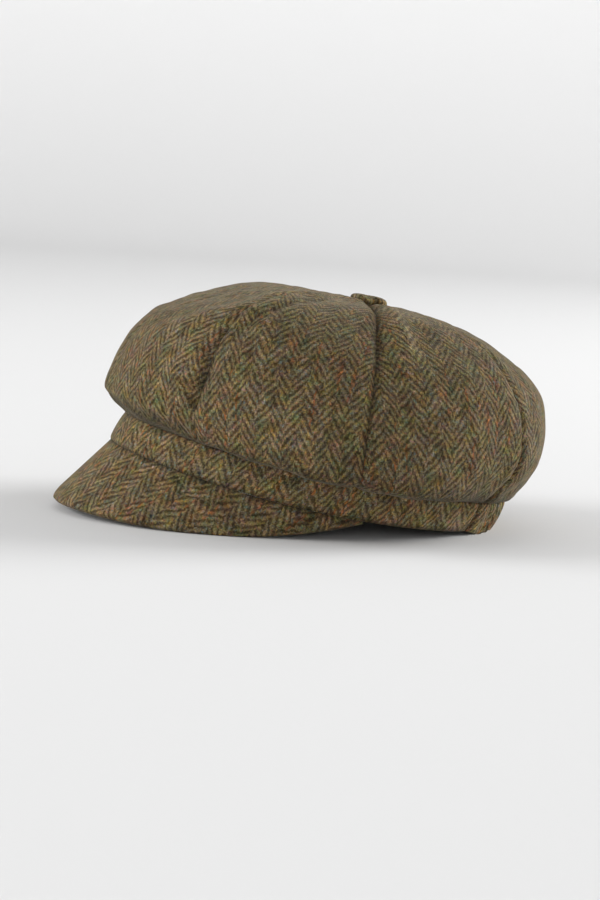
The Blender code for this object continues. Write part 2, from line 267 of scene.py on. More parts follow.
def plain_crown(turn, share):
    """Crown without seams or folds: a smooth curve from the band's upper edge, through the
    five stations of its section, to the crown's middle."""
    turn, share = np.broadcast_arrays(turn, share)
    rows = crown_rows(turn)
    aim = np.stack([np.sin(turn), -np.cos(turn)], axis=-1)
    size = 1 / np.hypot(np.sin(turn) / (CROWN_WIDTH / 2), np.cos(turn) / (CROWN_LENGTH / 2))
    start = band_point(turn, 1.0)
    start[..., 2] += GAP
    stations = [start]
    for index, back in enumerate(BACK_SHARES):
        reach = rows[..., 2 * index] * size
        height = BAND_HEIGHT + rows[..., 2 * index + 1] * CROWN_HEIGHT
        along = BAND_LEAN + CROWN_BACK * back + aim[..., 1] * reach
        stations.append(np.stack([aim[..., 0] * reach, along, height], axis=-1))
    middle = np.array([*CROWN_MIDDLE, BAND_HEIGHT + CROWN_HEIGHT])
    stations.append(np.broadcast_to(middle, start.shape))
    return through(np.stack(stations, axis=-2), share)


def outward(surface, turn, share):
    """Outward direction of a surface: the cross product of its steps round and up."""
    step = 1e-4
    low = np.maximum(share - step, 0)
    high = np.minimum(share + step, 1 - 1e-6)
    round_hat = surface(turn + step, share) - surface(turn - step, share)
    up_hat = surface(turn, high) - surface(turn, low)
    normal = np.cross(round_hat, up_hat)
    return normal / (np.linalg.norm(normal, axis=-1, keepdims=True) + 1e-15)


def soft_noise(place, size, seed):
    """Smooth unevenness between -1 and 1: a sum of five sine waves in fixed directions,
    each a little shorter and lower than the one before."""
    dice = np.random.default_rng(seed)
    total = np.zeros(place.shape[:-1])
    for index in range(5):
        aim = dice.normal(size=3)
        aim /= np.linalg.norm(aim)
        wave = 2 * pi / (size * (1.35 - 0.17 * index))
        total += np.sin(place @ aim * wave + dice.uniform(0, 2 * pi)) * (1 - 0.12 * index)
    return total / 2.6


def fold_stand(turn, share):
    """How far the folds lift the cloth: bell curves along lines that climb with the turn."""
    side = np.degrees(folded_turn(turn))
    stand = np.zeros(np.broadcast(turn, share).shape)
    for at_turn, at_share, climb, turn_spread, share_spread, height in FOLDS:
        along = (side - at_turn) / turn_spread
        across = (share - at_share - climb * (side - at_turn)) / share_spread
        stand = stand + height * np.exp(-along ** 2 - across ** 2)
    return stand


def bell(distance, width):
    """Bell curve: e to the minus square of the distance over the width."""
    return np.exp(-(distance / width) ** 2)


def seam_lines(share):
    """Turns of the seams at a share of their length: each swings by a little times the sine of
    its turn, towards the back below and towards the front above."""
    turns = np.radians(SEAMS[:, 0])
    return turns + SEAM_SWING * np.sin(turns) * np.clip((0.55 - share) / 0.25, -1, 1)[..., None]


def seam_pull(turn, share, radius):
    """Number of the nearest seam, which side of it a place lies on, how far off it is and how
    strongly that seam pulls there: its three strengths joined by straight lines."""
    away = (turn % (2 * pi))[..., None] - seam_lines(share)
    nearest = np.abs(away).argmin(axis=-1)
    beside = np.take_along_axis(away, nearest[..., None], axis=-1)[..., 0]
    off_seam = np.abs(beside) * radius
    low, middle, high = np.moveaxis(SEAMS[nearest, 1:], -1, 0)
    lower = low + (middle - low) * held(share / 0.5)
    strength = lower + (high - middle) * held((share - 0.5) / 0.35)
    return nearest, np.sign(beside), off_seam, strength


def seam_stand(turn, share, radius, sewing):
    """How far seams draw the cloth in: a broad dip, a narrow tuck at the stitches, and
    ripples along the seam that die away from it."""
    nearest, hand, off_seam, strength = seam_pull(turn, share, radius)
    broad = -sewing.seam_depth * held(1 - off_seam / sewing.seam_reach) ** 2
    tuck = -sewing.tuck_depth * bell(off_seam, sewing.tuck_width)
    place = share * PANEL_LENGTH / sewing.pucker_spacing * 2 * pi
    number = nearest + 0.37 * hand
    ripple = np.sin(place + 2.1 * number) * np.sin(0.37 * place + 1.3 * number + 0.8)
    pucker = sewing.pucker_depth * ripple * np.exp(-off_seam / PUCKER_REACH)
    return (broad + tuck + pucker) * strength


def crown_point(turn, share, sewing):
    """Crown outside: the plain crown moved along its outward direction by seams, folds
    and the cloth's own softness, all fading at the band and at the button."""
    turn, share = np.broadcast_arrays(turn, share)
    point = plain_crown(turn, share)
    radius = np.linalg.norm(point[..., :2] - CROWN_MIDDLE, axis=-1)
    fade = held(share / BAND_FADE) * held((1 - share) / BUTTON_FADE)
    soft = soft_noise(point, CROWN_SOFT_SIZE, 5) + 0.4 * soft_noise(point, CROWN_FINE_SIZE, 9)
    stand = (seam_stand(turn, share, radius, sewing) + fold_stand(turn, share)
             + sewing.wrinkle_depth * soft)
    return point + outward(plain_crown, turn, share) * (stand * fade)[..., None]


def share_at_radius(turn, radius):
    """Share of each section at which it comes within a radius of the crown's middle."""
    shares = np.linspace(0.8, 1.0, 101)
    line = plain_crown(turn[:, None], shares[None, :])
    away = np.linalg.norm(line[..., :2] - CROWN_MIDDLE, axis=-1)
    radius = np.broadcast_to(radius, turn.shape)
    return np.array([np.interp(-near, -row, shares) for near, row in zip(radius, away)])


def panel_grids(index, sewing, columns=72, rows=150):
    """Outside, inside, cloth coordinates and painted shading of a crown panel. Across the cloth
    counts the length along a row from the panel's middle line, and up the cloth the length along
    it. The painted shade is bell curves at the seams, the folds' dips and a ramp into the lower
    edge, and the folds' crests get a painted highlight."""
    first, last = np.radians(SEAMS[index:index + 2, 0])
    even = np.linspace(0, 1, columns + 1)
    edge = 0.5 * even + 0.25 * (1 - np.cos(pi * even))
    turns = first + edge * (last - first)
    share = np.linspace(0, 1, rows + 1)[None, :] * share_at_radius(turns, BUTTON_HOLE)[:, None]
    turn = np.broadcast_to(turns[:, None], share.shape)
    radius = np.linalg.norm(plain_crown(turn, share)[..., :2] - CROWN_MIDDLE, axis=-1)
    margin = np.arcsin(np.clip(SEAM_GAP / 2 / radius, 0, 0.5))
    first, last = np.moveaxis(seam_lines(share)[..., index:index + 2], -1, 0)
    turn = first + margin + edge[:, None] * (last - first - 2 * margin)
    outside = crown_point(turn, share, sewing)
    inside = outside - outward(plain_crown, turn, share) * CLOTH
    middle = columns // 2
    across = np.cumsum(steps(outside, 0), axis=0)
    across -= across[middle][None, :]
    up = np.cumsum(steps(outside, 1), axis=1)[middle][None, :]
    _, _, off_seam, strength = seam_pull(turn, share, radius)
    # Painted shade at the seams and under the crown's lower edge
    hollow = 0.6 * strength * bell(off_seam, SEAM_SHADE_WIDTH)
    dark, clear = CROWN_SHADE_SHARES
    hollow = np.maximum(hollow, held((clear - share) / (clear - dark)))
    # Painted shade in the folds' dips and painted highlight on their crests
    hollow = hollow - fold_stand(turn, share) / FOLD_SHADE_DEPTH
    return outside, inside, cloth_map(across, up), np.clip(hollow, -0.5, 1)


def steps(grid, axis):
    """Length of each step along one axis of a grid, with 0 for the first."""
    length = np.linalg.norm(np.diff(grid, axis=axis), axis=-1)
    pad = [(1, 0) if index == axis else (0, 0) for index in range(2)]
    return np.pad(length, pad)


def wall_rows():
    """Height shares of the rows of the band's wall, evenly spread between the corners of its
    outline, and how far the wall stands out at each."""
    corners = np.array(BAND_PROFILE)
    place = np.linspace(0, len(corners) - 1, WALL_ROWS)
    share = np.interp(place, range(len(corners)), corners[:, 0])[None, :]
    return share, np.interp(share, *corners.T) * BAND_WALL


def band_grids(sewing, columns=360):
    """Outside, inside, cloth coordinates and painted shading of the band, open at the back: the
    wall's outline with a soft unevenness, drawn in at both ends. Painted shade lies along its
    lower edge, at its ends and, less strongly, in front, under the crown's overhang."""
    reach = pi - CASING_HALF_TURN - GAP / BAND_LENGTH
    turn = np.linspace(-reach, reach, columns + 1)[:, None]
    share, stand = wall_rows()
    outside = band_point(turn, share, stand)
    ends = (reach - np.abs(turn)) * BAND_LENGTH / 2
    soft = 0.5 * sewing.wrinkle_depth * soft_noise(outside, BAND_SOFT_SIZE, 21)
    soft = soft - sewing.tuck_depth * bell(ends, END_TUCK_WIDTH)
    outside = band_point(turn, share, stand + soft)
    inside = band_point(turn, share, -BAND_WALL - stand)
    across = along_wall(outside)
    # Painted shade along the lower edge, at the ends and, less strongly, in front under the crown
    hollow = np.maximum(held(1.3 - share / 0.12), bell(ends, END_SHADE_WIDTH))
    hollow = np.maximum(hollow, 0.4 * held(np.cos(turn)))
    cloth = cloth_map(across - across[columns // 2], BAND_HEIGHT * share)
    return outside, inside, cloth, hollow


def along_wall(outside):
    """Length along the middle row of a wall, from its first end to each column."""
    return np.cumsum(steps(outside, 0), axis=0)[:, MIDDLE_ROW:MIDDLE_ROW + 1]


def cloth_map(across, up):
    """Cloth coordinates from a length across and a length up the weave."""
    return np.stack(np.broadcast_arrays(across, up), axis=-1)


def casing_grids(sewing, columns=320):
    """Outside, inside, cloth coordinates and painted shading of the back casing: the band's wall,
    padded, with gathers that are a cosine round the hat and swell towards the middle of its
    height. Its cloth is fuller than its length, and painted shade lies at its ends and in the
    gathers' dips."""
    reach = CASING_HALF_TURN - GAP / BAND_LENGTH
    turn = np.linspace(pi - reach, pi + reach, columns + 1)[:, None]
    share, stand = wall_rows()
    side = (turn - pi) / CASING_HALF_TURN
    fade = held(4 * (1 - np.abs(side)))
    wander = 0.35 * np.sin(side * 17) + 0.2 * np.sin(side * 41 + share * 3)
    wave = np.cos(side * pi * GATHER_COUNT + wander)
    gather = sewing.gather_depth * wave * fade * (0.45 + 0.55 * np.sin(share * pi))
    puff = CASING_PUFF * held(6 * (1 - np.abs(side)))
    ends = (reach - np.abs(turn - pi)) * BAND_LENGTH / 2
    tuck = sewing.tuck_depth * bell(ends, END_TUCK_WIDTH)
    outside = band_point(turn, share, stand + puff + gather - tuck)
    inside = band_point(turn, share, stand - BAND_WALL - puff + gather)
    for grid in (outside, inside):
        grid[..., 2] -= CASING_DROP * fade * (1 - share)
    across = CASING_FULLNESS * along_wall(outside)
    # Painted shade at the ends and in the gathers' dips
    hollow = bell(ends, END_SHADE_WIDTH) + 0.4 * (1 - wave) / 2 * fade
    return outside, inside, cloth_map(across, BAND_HEIGHT * share), held(hollow)


def peak_point(turn, share, depth_in):
    """Peak: from its root under the band it runs outward and down at its slope, which
    steepens with the square of the turn; depth_in is measured square to its top face."""
    turn, share, depth_in = np.broadcast_arrays(turn, share, depth_in)
    root = band_point(turn, 0.0, -PEAK_INSET)
    _, out = oval(turn)
    length, slope = peak_size(turn)
    flat = length * share * np.cos(slope) - depth_in * np.sin(slope)
    drop = length * share * np.sin(slope) + depth_in * np.cos(slope) + SEAM_GAP
    point = root.copy()
    point[..., :2] += out * flat[..., None]
    point[..., 2] -= drop
    return point


def peak_size(turn):
    """Depth and slope of the peak at a turn."""
    side = held(folded_turn(turn) / PEAK_HALF_TURN)
    length = PEAK_TAB + (PEAK_DEPTH - PEAK_TAB) * (1 - side ** PEAK_ROUND) ** PEAK_FALL
    return length, PEAK_SLOPE + PEAK_STEEPEN * side ** 2


def peak_grids(layer, columns=240, rows=60):
    """Both faces, cloth coordinates and painted shading of one layer of the peak. Laid flat, its
    root bends by the turn of the band times the cosine of the slope, and the weave runs front to
    back. Painted shade fades out from the root."""
    turn = np.linspace(-PEAK_HALF_TURN, PEAK_HALF_TURN, columns + 1)[:, None]
    share = np.linspace(0, 1, rows + 1)[None, :] ** 0.9
    near = held((share - 0.8) / 0.2)
    rounding = 0.9 * PEAK_LAYER * (1 - np.sqrt(1 - 0.85 * near ** 3))
    above = layer * (PEAK_LAYER + GAP)
    upper = peak_point(turn, share, above + rounding * (1 - layer))
    lower = peak_point(turn, share, above + PEAK_LAYER - rounding * layer)
    length, slope = peak_size(turn[:, 0])
    root = peak_point(turn[:, 0], 0.0, 0.0)
    _, out = oval(turn[:, 0])
    heading = np.unwrap(np.arctan2(out[:, 0], -out[:, 1]))
    bend = np.cumsum(np.diff(heading, prepend=heading[0]) * np.cos(slope))
    bend -= bend[columns // 2]
    run = np.pad(np.linalg.norm(np.diff(root, axis=0), axis=-1), (1, 0))
    across = np.cumsum(run * np.cos(bend))
    along = np.cumsum(run * np.sin(bend))
    across, along = across - across[columns // 2], along - along[columns // 2]
    reach = length[:, None] * share
    cloth = cloth_map(across[:, None] + reach * np.sin(bend)[:, None],
                      along[:, None] - reach * np.cos(bend)[:, None])
    # Painted shade at the root, under the band
    return upper, lower, cloth, held(1 - reach / PEAK_ROOT_SHADE)


def button_rings(sewing, columns=72):
    """Rings of the covered button, from the middle of its top over its rim to its underside:
    a quarter of an ellipse for the dome and the table below it, laid on the crown, with a rise
    towards the back that follows one minus the cosine of the turn."""
    turns = np.linspace(0, 2 * pi, columns, endpoint=False)
    arc = np.linspace(0, pi / 2, 16)
    rings = [(sin(angle), 0.5 * BUTTON_RIM + 1.3 * BUTTON_DOME * cos(angle)) for angle in arc[:-1]]
    rings += [(reach, high * BUTTON_RIM) for reach, high in BUTTON_EDGE]
    grids = []
    for reach, stand in rings:
        radius = BUTTON_COVER * max(reach, 0.04)
        across, along = radius * np.sin(turns), BUTTON_SHIFT - radius * np.cos(turns)
        around = np.arctan2(across, -along)
        shares = share_at_radius(around, np.hypot(across, along))
        base = crown_point(around, shares, sewing)
        lift = outward(plain_crown, around, shares).mean(axis=0)
        rise = 0.9 * BUTTON_BACK_RISE * (1 - np.cos(turns)) / 2 * reach * (stand > 0)
        ring = base + lift * (SEAM_GAP + stand + rise)[:, None]
        grids.append(np.broadcast_to(ring.mean(axis=0), ring.shape) if reach == 0 else ring)
    return grids


def rested(points, lowest=0.0):
    """Points tipped back by the rest pitch, moved over the floor, and flattened at a height."""
    across, along, height = points[..., 0], points[..., 1], points[..., 2]
    turned = along * cos(REST_PITCH) + height * sin(REST_PITCH) + REST_ALONG
    raised = height * cos(REST_PITCH) - along * sin(REST_PITCH) + REST_HEIGHT
    return np.stack([across, turned, np.maximum(raised, lowest)], axis=-1)


def shown(name, data):
    """Object of some data, linked to the scene; a mesh is made smooth first."""
    if isinstance(data, bpy.types.Mesh):
        data.polygons.foreach_set("use_smooth", np.ones(len(data.polygons), dtype=bool))
        data.update()
    thing = bpy.data.objects.new(name, data)
    bpy.context.scene.collection.objects.link(thing)
    return thing


def put_mesh(name, points, faces, cloth, hollow):
    """Object of a closed mesh with its cloth coordinates in the map named weave, and its painted
    shading in a point attribute: 1 for full painted shade, below 0 for a painted highlight on a
    fold's crest."""
    mesh = bpy.data.meshes.new(name)
    mesh.from_pydata(points.tolist(), [], faces.tolist())
    work = bmesh.new()
    work.from_mesh(mesh)
    bmesh.ops.recalc_face_normals(work, faces=work.faces)
    work.to_mesh(mesh)
    work.free()
    corners = np.empty(len(mesh.loops), dtype=np.int32)
    mesh.loops.foreach_get("vertex_index", corners)
    layer = mesh.uv_layers.new(name="weave")
    layer.data.foreach_set("uv", cloth[corners].astype(np.float32).ravel())
    # Painted shading: each point darkened in a hollow or lightened on a fold's crest
    shading_paint = mesh.attributes.new("hollow", "FLOAT", "POINT")
    shading_paint.data.foreach_set("value", hollow.astype(np.float32).ravel())
    return shown(name, mesh)


def cloth_wall(name, outside, inside, cloth, hollow, inner_lowest=0.0):
    """Closed wall between an outside and an inside grid, joined along their rims. The outside
    is flattened on the floor, and the inside at inner_lowest, to keep some thickness there."""
    columns, rows = outside.shape[:2]
    points = np.concatenate([rested(outside.reshape(-1, 3)),
                             rested(inside.reshape(-1, 3), inner_lowest)])
    number = np.arange(columns * rows).reshape(columns, rows)
    under = number + columns * rows
    sheets = []
    for sheet in (number, under[:, ::-1]):
        sheets.append(np.stack([sheet[:-1, :-1], sheet[1:, :-1], sheet[1:, 1:], sheet[:-1, 1:]],
                               axis=-1).reshape(-1, 4))
    rim = np.concatenate([number[:, 0], number[-1, 1:], number[-2::-1, -1], number[0, -2:0:-1]])
    below = rim + columns * rows
    sheets.append(np.stack([rim, below, np.roll(below, -1), np.roll(rim, -1)], axis=-1))
    flat = cloth.reshape(-1, 2)
    # The same painted shading on both sheets
    shading_paint = np.broadcast_to(hollow, outside.shape[:2]).ravel()
    return put_mesh(name, points, np.concatenate(sheets), np.concatenate([flat, flat]),
                    np.concatenate([shading_paint, shading_paint]))


def ring_solid(name, rings):
    """Closed solid through rings whose first and last shrink to one point."""
    columns = len(rings[1])
    points = np.concatenate([rings[0][:1], *rings[1:-1], rings[-1][:1]])
    number = 1 + np.arange((len(rings) - 2) * columns).reshape(-1, columns)
    after = np.roll(number, -1, axis=1)
    quads = np.stack([number[:-1], after[:-1], after[1:], number[1:]], axis=-1).reshape(-1, 4)
    last = np.full(columns, len(points) - 1)
    faces = quads.tolist()
    faces += np.stack([0 * last, after[0], number[0]], axis=-1).tolist()
    faces += np.stack([last, number[-1], after[-1]], axis=-1).tolist()
    return put_mesh(name, rested(points), np.array(faces, dtype=object), points[:, :2],
                    np.zeros(len(points)))


class NodeBench:
    """Adds and joins the shader nodes of one material with short calls."""

    def __init__(self, name):
        self.material = bpy.data.materials.new(name)
        self.material.use_nodes = True
        self.tree = self.material.node_tree
        self.shader = self.tree.nodes["Principled BSDF"]

    def feed(self, socket, source):
        """Join a source to a socket, or set the socket where the source is a value."""
        if isinstance(source, bpy.types.NodeSocket):
            self.tree.links.new(source, socket)
        else:
            socket.default_value = source

    def node(self, kind, inputs=(), **settings):
        """Add a node, set what it is told and feed its inputs by name."""
        made = self.tree.nodes.new(kind)
        for key, value in settings.items():
            setattr(made, key, value)
        for key, source in dict(inputs).items():
            self.feed(made.inputs[key], source)
        return made

    def finish(self, values):
        """Set the shader's values that are the same all over the surface."""
        for key, value in values.items():
            self.shader.inputs[key].default_value = value

    def math(self, operation, *sources):
        """Result of a Math node."""
        made = self.node("ShaderNodeMath", operation=operation)
        for socket, source in zip(made.inputs, sources):
            self.feed(socket, source)
        return made.outputs[0]

    def plus(self, first, second):
        """Sum of two sources."""
        return self.math("ADD", first, second)

    def times(self, first, second):
        """Product of two sources."""
        return self.math("MULTIPLY", first, second)

    def noise(self, place, scale, detail=2.0, roughness=0.5, output="Fac"):
        """Noise at a place."""
        return self.node("ShaderNodeTexNoise", {"Vector": place, "Scale": scale, "Detail": detail,
                                                "Roughness": roughness}).outputs[output]

    def blend(self, factor, first, second, mode="MIX"):
        """Result of mixing two colours."""
        made = self.node("ShaderNodeMix", data_type="RGBA", blend_type=mode)
        self.feed(made.inputs["Factor"], factor)
        self.feed(made.inputs[6], first)
        self.feed(made.inputs[7], second)
        return made.outputs[2]

    def vector(self, operation, inputs):
        """Result of a Vector Math node."""
        return self.node("ShaderNodeVectorMath", inputs, operation=operation).outputs[0]

    def join(self, x, y=0.0, z=0.0):
        """Vector from three numbers."""
        return self.node("ShaderNodeCombineXYZ", {0: x, 1: y, 2: z}).outputs[0]

    def ramp(self, factor, stops):
        """Colour ramp from rows of place and colour."""
        made = self.node("ShaderNodeValToRGB", {"Fac": factor})
        items = made.color_ramp.elements
        while len(items) < len(stops):
            items.new(0.5)
        for item, (place, colour) in zip(items, stops):
            item.position = place
            item.color = (*colour, 1.0)
        return made.outputs["Color"]

    def spread(self, factor, low, high, least=0.0, most=1.0):
        """Factor stretched so that low becomes least and high becomes most, held between them."""
        return self.node("ShaderNodeMapRange", {"Value": factor, "From Min": low, "From Max": high,
                                                "To Min": least, "To Max": most}).outputs["Result"]


def tweed(name, weave, tone=1.0, lean=0.0, shift=0.0):
    """Herringbone tweed in a two over two twill. Across the cloth lie yarns of one width; up the
    cloth, picks cross them. A yarn shows where the cosine of a quarter turn for each yarn across
    and each pick up is above nought; across mirrors at each column's edge and the twill shifts
    by half a repeat there. Lean turns the weave on its piece, shift slides it, and tone
    brightens or darkens it; on the band, the casing and the peak's upper layer, that brightening
    is painted light."""
    bench = NodeBench(name)
    place = cloth_place(bench, lean, shift)
    parts = bench.node("ShaderNodeSeparateXYZ", {0: place})
    across, up = parts.outputs["X"], parts.outputs["Y"]
    yarn = weave.column_width / weave.column_yarns
    yarn_place = bench.math("DIVIDE", across, yarn)
    pick_place = bench.math("DIVIDE", up, yarn / tan(weave.twill_angle))
    hair = bench.noise(place, HAIR_SCALE, detail=4.0, roughness=0.7)
    wave = bench.math("COSINE", twill_phase(bench, across, pick_place, weave))
    breaks = bench.times(bench.math("SUBTRACT", hair, 0.5), weave.breaks)
    over = bench.spread(bench.plus(wave, breaks), -0.8, 0.8)
    number = bench.math("FLOOR", yarn_place)
    pick_number = bench.math("FLOOR", pick_place)
    warp = yarn_colour(bench, number, up, weave.fleck_length, weave.light_yarns(), 3.1)
    weft = yarn_colour(bench, pick_number, across, weave.fleck_length, weave.dark_yarns(), 57.7)
    warp = stray_thread(bench, warp, number, up, weave)
    body = bench.blend(over, weft, warp)
    under = bench.math("SUBTRACT", 1.0, over)
    rounding = bench.plus(bench.times(over, yarn_round(bench, yarn_place)),
                          bench.times(under, yarn_round(bench, pick_place)))
    shade = cloth_shade(bench, place, hair, rounding, weave, tone)
    zones = hue_zones(bench, place, weave.hue_zones)
    body = bench.blend(1.0, body, zones, "MULTIPLY")
    body = bench.blend(1.0, body, bench.join(shade, shade, shade), "MULTIPLY")
    bench.feed(bench.shader.inputs["Base Color"], body)
    height = bench.plus(bench.times(over, 0.5), bench.times(rounding, 0.35))
    height = bench.plus(height, bench.times(hair, 0.5))
    bump = bench.node("ShaderNodeBump", {"Height": height, "Strength": weave.bump_strength,
                                         "Distance": weave.ridge_height})
    bench.feed(bench.shader.inputs["Normal"], bump.outputs["Normal"])
    bench.finish({"Roughness": 0.95, "Specular IOR Level": 0.12, "Sheen Weight": weave.sheen,
                  "Sheen Roughness": 0.3, "Sheen Tint": (*weave.sheen_tint, 1.0)})
    return bench.material


def twill_phase(bench, across, pick_place, weave):
    """Phase of the twill: a quarter turn for each yarn, counted back and forth in each column
    and partly in whole yarns, and for each pick, with half a turn more in every other column."""
    yarn = weave.column_width / weave.column_yarns
    column = bench.math("FLOOR", bench.math("DIVIDE", across, weave.column_width))
    parity = bench.math("FLOORED_MODULO", column, 2.0)
    folded = bench.math("DIVIDE", bench.math("PINGPONG", across, weave.column_width), yarn)
    stepped = bench.plus(bench.math("FLOOR", folded), 0.5)
    slid = bench.plus(bench.times(folded, 1 - weave.stepping),
                      bench.times(stepped, weave.stepping))
    repeat = bench.times(bench.plus(slid, pick_place), 0.25)
    return bench.times(bench.plus(repeat, bench.times(parity, 0.5)), 2 * pi)


def cloth_shade(bench, place, hair, rounding, weave, tone):
    """Brightness of the cloth: fine speckle and pale fibres, times the mottle, a painted shade
    towards the yarns' edges from their roundness, the painted shade of the hollows and painted
    highlight of the folds' crests, and the tone, which on some pieces is painted light."""
    flecks = bench.noise(place, SPECKLE_SCALE)
    speckle = bench.spread(flecks, 0.3, 0.7, 1 - weave.speckle, 1 + weave.speckle)
    neps = bench.times(bench.spread(hair, 0.6, 0.74), weave.neps)
    shade = bench.times(bench.plus(speckle, neps), mottle(bench, place, weave))
    # Painted shade towards each yarn's edges, from its roundness
    shade = bench.times(shade, bench.plus(0.75, bench.times(rounding, 0.35)))
    # Painted shade in the hollows and painted highlight on the folds' crests, read from the mesh
    hollow = bench.node("ShaderNodeAttribute", attribute_name="hollow").outputs["Fac"]
    shading_paint = bench.math("SUBTRACT", 1.0, bench.times(hollow, weave.hollow_shade))
    return bench.times(bench.times(shade, shading_paint), tone * weave.tone)


def cloth_place(bench, lean, shift):
    """Cloth coordinates turned and slid, then wandering a little as woven cloth does."""
    mapped = bench.node("ShaderNodeMapping", {
        "Vector": bench.node("ShaderNodeUVMap", uv_map="weave").outputs[0],
        "Rotation": (0.0, 0.0, lean), "Location": (shift, 0.37 * shift, 0.0)}).outputs[0]
    place = mapped
    for scale, reach in WOBBLES:
        wobble = bench.noise(mapped, scale, output="Color")
        offset = bench.vector("SUBTRACT", {0: wobble, 1: (0.5, 0.5, 0.5)})
        offset = bench.vector("SCALE", {0: offset, "Scale": reach})
        place = bench.vector("ADD", {0: place, 1: offset})
    return place


def yarn_colour(bench, number, along, length, stops, seed):
    """Colour of a spun yarn: a noise that is long along the yarn and new on each yarn."""
    spot = bench.join(bench.math("DIVIDE", along, length),
                      bench.plus(bench.times(number, 7.31), seed), seed)
    noise = bench.noise(spot, 1.0, detail=3.0, roughness=0.7)
    return bench.ramp(bench.spread(noise, 0.25, 0.75), stops)


def stray_thread(bench, warp, number, up, weave):
    """Here and there one yarn is dyed rust for a few centimetres of its length."""
    spot = bench.join(bench.times(number, 3.17), bench.math("DIVIDE", up, STRAY_LENGTH), 4.4)
    noise = bench.noise(spot, 1.0, detail=0.0)
    amount = bench.times(bench.spread(noise, 0.71, 0.76), 0.75)
    return bench.blend(amount, warp, (*weave.rust, 1.0))


def yarn_round(bench, place):
    """Roundness of a yarn: the sine of pi times the fraction across it, 1 in its middle."""
    return bench.math("SINE", bench.times(bench.math("FRACT", place), pi))


def mottle(bench, place, weave):
    """Uneven brightness of the wool: the sum of a broad and a finer noise about 1."""
    broad = bench.noise(place, MOTTLE_SCALES[0], detail=1.0)
    fine = bench.noise(place, MOTTLE_SCALES[1], detail=3.0)
    both = bench.plus(bench.times(broad, 0.6), fine)
    offset = bench.times(bench.math("SUBTRACT", both, 0.8), weave.mottle)
    return bench.math("MAXIMUM", bench.plus(1.0, offset), 0.3)


def hue_zones(bench, place, strength):
    """Zones of the dye: three noises, one for each of red, green and blue, about 1."""
    zone = bench.noise(place, ZONE_SCALE, detail=4.0, roughness=0.7, output="Color")
    reach = ZONE_REACH * strength
    return bench.vector("MULTIPLY_ADD", {0: zone, 1: reach, 2: Vector((1, 1, 1)) - reach / 2})


def colour(name, note, value):
    """Colour setting."""
    return FloatVectorProperty(name=name, description=note, default=value, subtype="COLOR",
                               size=3, min=0.0, max=1.0)


def length(name, note, value, least=0.0):
    """Length setting in metres."""
    return FloatProperty(name=name, description=note, default=value, min=least, precision=6,
                         unit="LENGTH")


def angle(name, note, degrees):
    """Angle setting."""
    return FloatProperty(name=name, description=note, default=radians(degrees), subtype="ANGLE")


def share_of_one(name, note, value):
    """Setting between 0 and 1."""
    return FloatProperty(name=name, description=note, default=value, min=0.0, max=1.0,
                         subtype="FACTOR")


def strength(name, note, value, most=8.0):
    """Setting from 0 up."""
    return FloatProperty(name=name, description=note, default=value, min=0.0, max=most)


def power(name, note, value):
    """Power of a light in watts."""
    return FloatProperty(name=name, description=note, default=value, min=0.0, unit="POWER")


